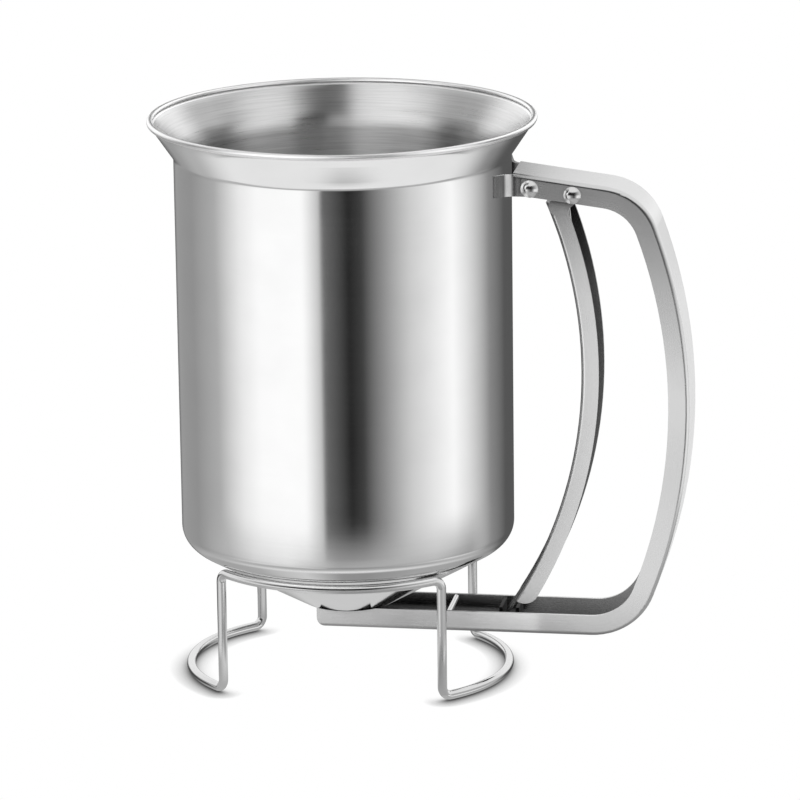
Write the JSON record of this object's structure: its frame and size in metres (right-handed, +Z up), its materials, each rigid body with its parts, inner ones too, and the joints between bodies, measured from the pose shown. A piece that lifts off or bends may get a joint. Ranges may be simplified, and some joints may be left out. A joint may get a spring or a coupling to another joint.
{
  "type": "batter dispenser cup",
  "caption": "Steel batter dispenser: flared cup with funnel floor and sliding outlet valve, channel handle with a sprung squeeze lever, and a separate bent-wire stand.",
  "frame": {"origin": "on the cup's axis, at the height of the table under the stand's feet", "axes": "+Z up along the cup's axis, +X from the cup to its handle, +Y to the back"},
  "size_m": [0.1616, 0.1152, 0.17],
  "materials": {
    "cup_steel": "polished",
    "handle_steel": "satin",
    "lever_steel": "satin",
    "bracket_steel": "satin",
    "rivet_steel": "polished",
    "washer_steel": "satin",
    "slide_steel": "satin",
    "spring_steel": "bright drawn",
    "stand_wire": "bright plated"
  },
  "bodies": {
    "stand": {"wire_stand": "stand_wire"},
    "dispenser": {"cup_shell": "cup_steel", "outlet_spout": "cup_steel", "outer_handle": "handle_steel", "handle_bracket": "bracket_steel", "bracket_rivets": "rivet_steel", "pivot_rivet": "rivet_steel", "pivot_washers": "washer_steel", "stop_pin": "rivet_steel", "return_spring": "spring_steel"},
    "lever": {"trigger_lever": "lever_steel"},
    "slide": {"valve_slide": "slide_steel"}
  },
  "joints": [
    {"name": "dispenser_lift", "type": "slide", "parent": "stand", "child": "dispenser", "axis": [0, 0, 1], "range_m": [0, 0.06]},
    {"name": "lever_squeeze", "type": "hinge", "parent": "dispenser", "child": "lever", "pos_m": [0.06944, 0, 0.14917], "axis": [0, -1, 0], "range_deg": [0, 9.2], "stiffness_Nm_per_rad": 1, "springref_deg": -20.05, "deforming": ["return_spring"]},
    {"name": "slide_travel", "type": "slide", "parent": "dispenser", "child": "slide", "axis": [1, 0, 0], "range_m": [0, 0.0213]}
  ],
  "couplings": [
    {"joint": "slide_travel", "follows": "lever_squeeze", "m_per_rad": 0.132}
  ]
}
